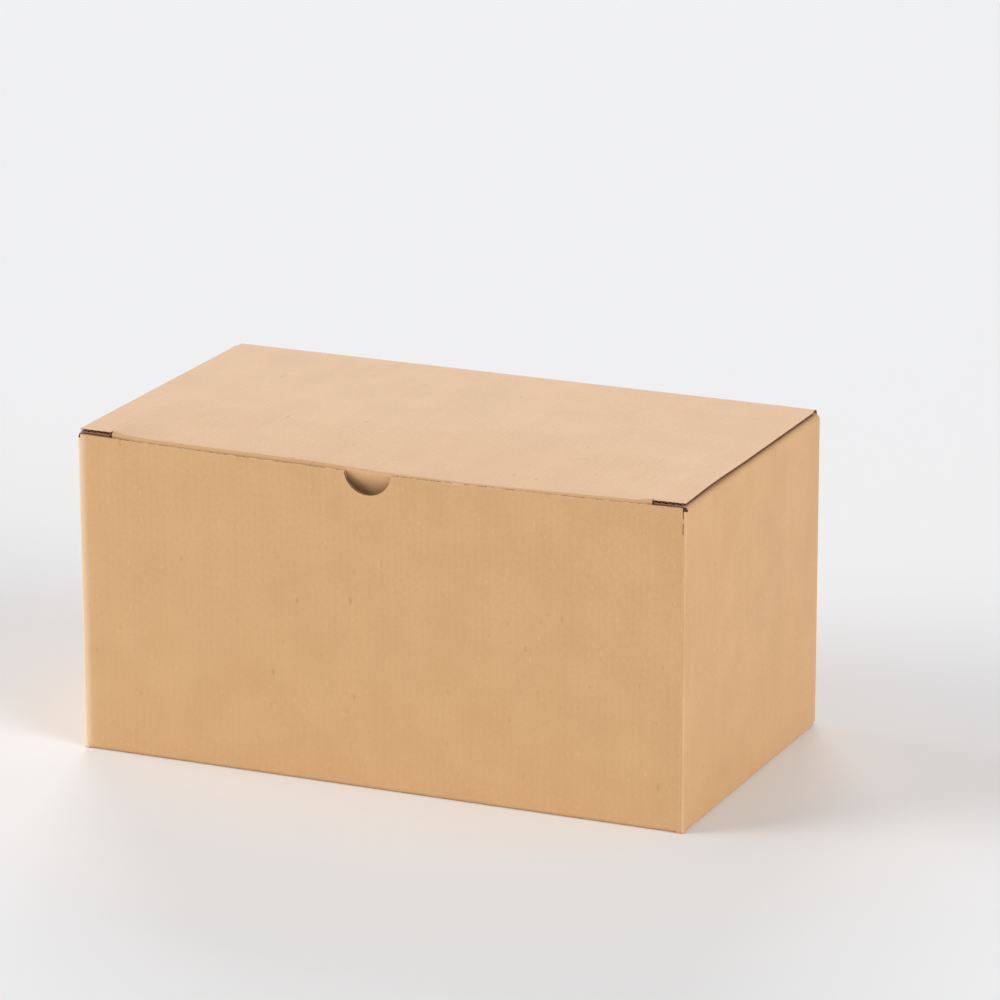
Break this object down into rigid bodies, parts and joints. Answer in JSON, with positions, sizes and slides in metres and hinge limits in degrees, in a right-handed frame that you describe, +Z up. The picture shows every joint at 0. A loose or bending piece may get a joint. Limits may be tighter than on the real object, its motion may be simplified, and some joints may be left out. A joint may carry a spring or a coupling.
{
  "type": "tuck top corrugated carton",
  "caption": "Closed corrugated carton with a hinged tuck-in lid, slit corners, thumb notch, dust flaps and a folded locking base.",
  "frame": {"origin": "middle of the base, on the surface that the carton stands on", "axes": "+X to the right along the front panel, -Y out of the front panel with the thumb notch, +Z up through the lid"},
  "size_m": [0.3, 0.168, 0.154],
  "materials": {
    "kraft_walls": "matt brown kraft liner on fine-flute board",
    "kraft_lid": "matt brown kraft liner on fine-flute board"
  },
  "bodies": {
    "carton": {"box_body": "kraft_walls"},
    "lid": {"lid": "kraft_lid"}
  },
  "joints": [
    {"name": "lid_hinge", "type": "hinge", "parent": "carton", "child": "lid", "pos_m": [0, 0.084, 0.15175], "axis": [-1, 0, 0], "range_deg": [0, 180]}
  ]
}
